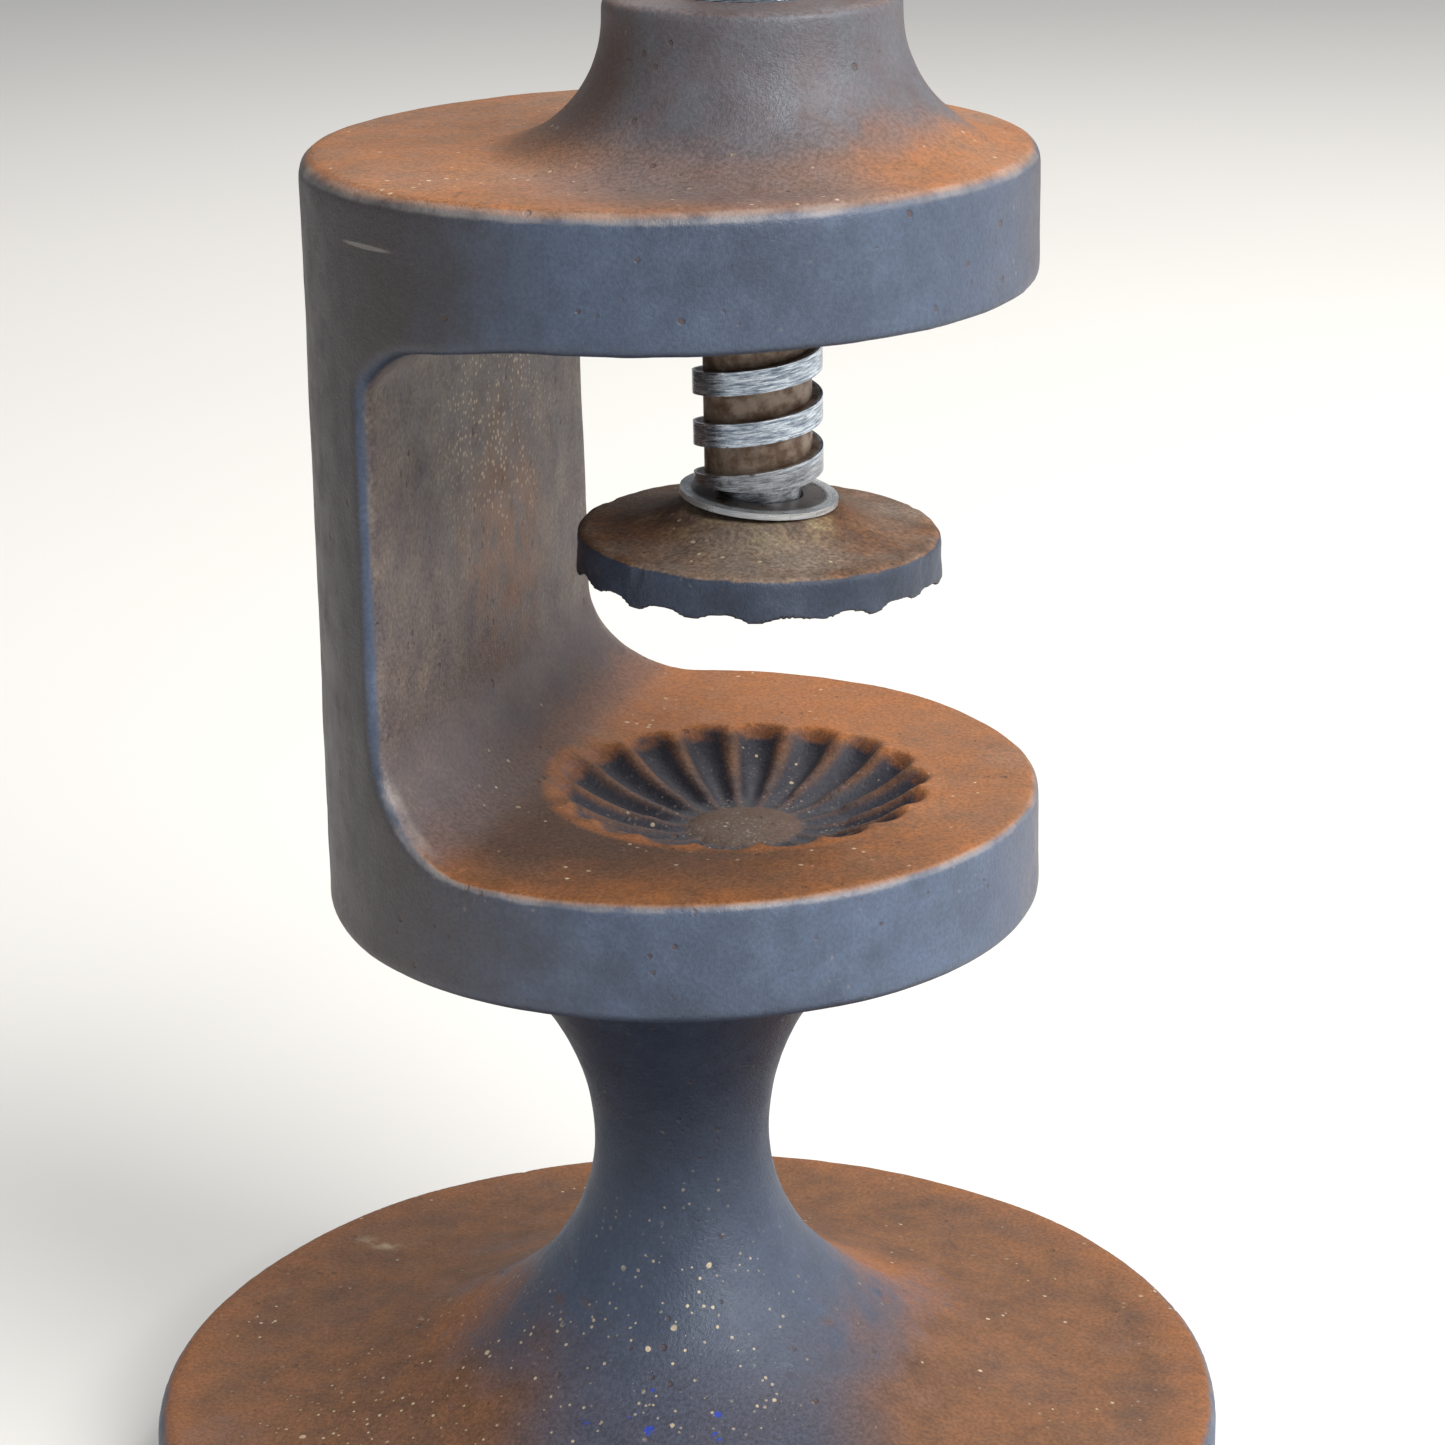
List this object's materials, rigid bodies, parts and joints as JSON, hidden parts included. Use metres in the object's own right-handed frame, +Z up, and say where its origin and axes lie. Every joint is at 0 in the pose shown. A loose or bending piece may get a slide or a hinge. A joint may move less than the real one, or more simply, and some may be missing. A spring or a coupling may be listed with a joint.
{
  "type": "screw nutcracker",
  "caption": "Cast-iron pedestal nutcracker: a square-thread steel screw presses a swivelling fluted pad down towards a fluted cup in a round C-shaped frame.",
  "frame": {"origin": "centre of the underside of the base, on the pedestal's axis", "axes": "+Z up along the pedestal, +X out of the frame's open side, the screw's axis parallel to +Z at x = 9.5 mm"},
  "size_m": [0.1124, 0.1124, 0.2107],
  "materials": {
    "dark_iron": "satin, dark blue-grey with rust-brown patina on the top faces",
    "worn_iron": "satin, blue-grey sides and rust-brown upward faces",
    "bright_steel": "turned, bright crests with brown in the grooves",
    "plain_steel": "dull",
    "baize": "matt felt"
  },
  "bodies": {
    "stand": {"pedestal": "dark_iron", "press_frame": "worn_iron", "tie_bolt": "plain_steel", "tie_bolt_washer": "plain_steel", "tie_bolt_lock_washer": "plain_steel", "locating_dowel": "plain_steel", "base_baize": "baize"},
    "carrier": {"thrust_washer": "bright_steel"},
    "spindle": {"pressure_screw": "bright_steel", "pad_retaining_screw": "plain_steel", "handle": "worn_iron", "handle_washer": "bright_steel", "handle_dome_nut": "bright_steel"},
    "pad": {"pressure_pad": "worn_iron"}
  },
  "joints": [
    {"name": "screw_travel", "type": "slide", "parent": "stand", "child": "carrier", "axis": [0, 0, 1], "range_m": [-0.02033, 0.01906]},
    {"name": "screw_turn", "type": "hinge", "parent": "carrier", "child": "spindle", "pos_m": [0.0095, 0, 0.13], "axis": [0, 0, 1], "range_deg": [-1440, 1350]},
    {"name": "pad_swivel", "type": "hinge", "parent": "carrier", "child": "pad", "pos_m": [0.0095, 0, 0.1058], "axis": [0.0332, 0, 0.9995], "continuous": true}
  ],
  "couplings": [
    {"joint": "screw_travel", "follows": "screw_turn", "m_per_rad": 0.00080851}
  ]
}
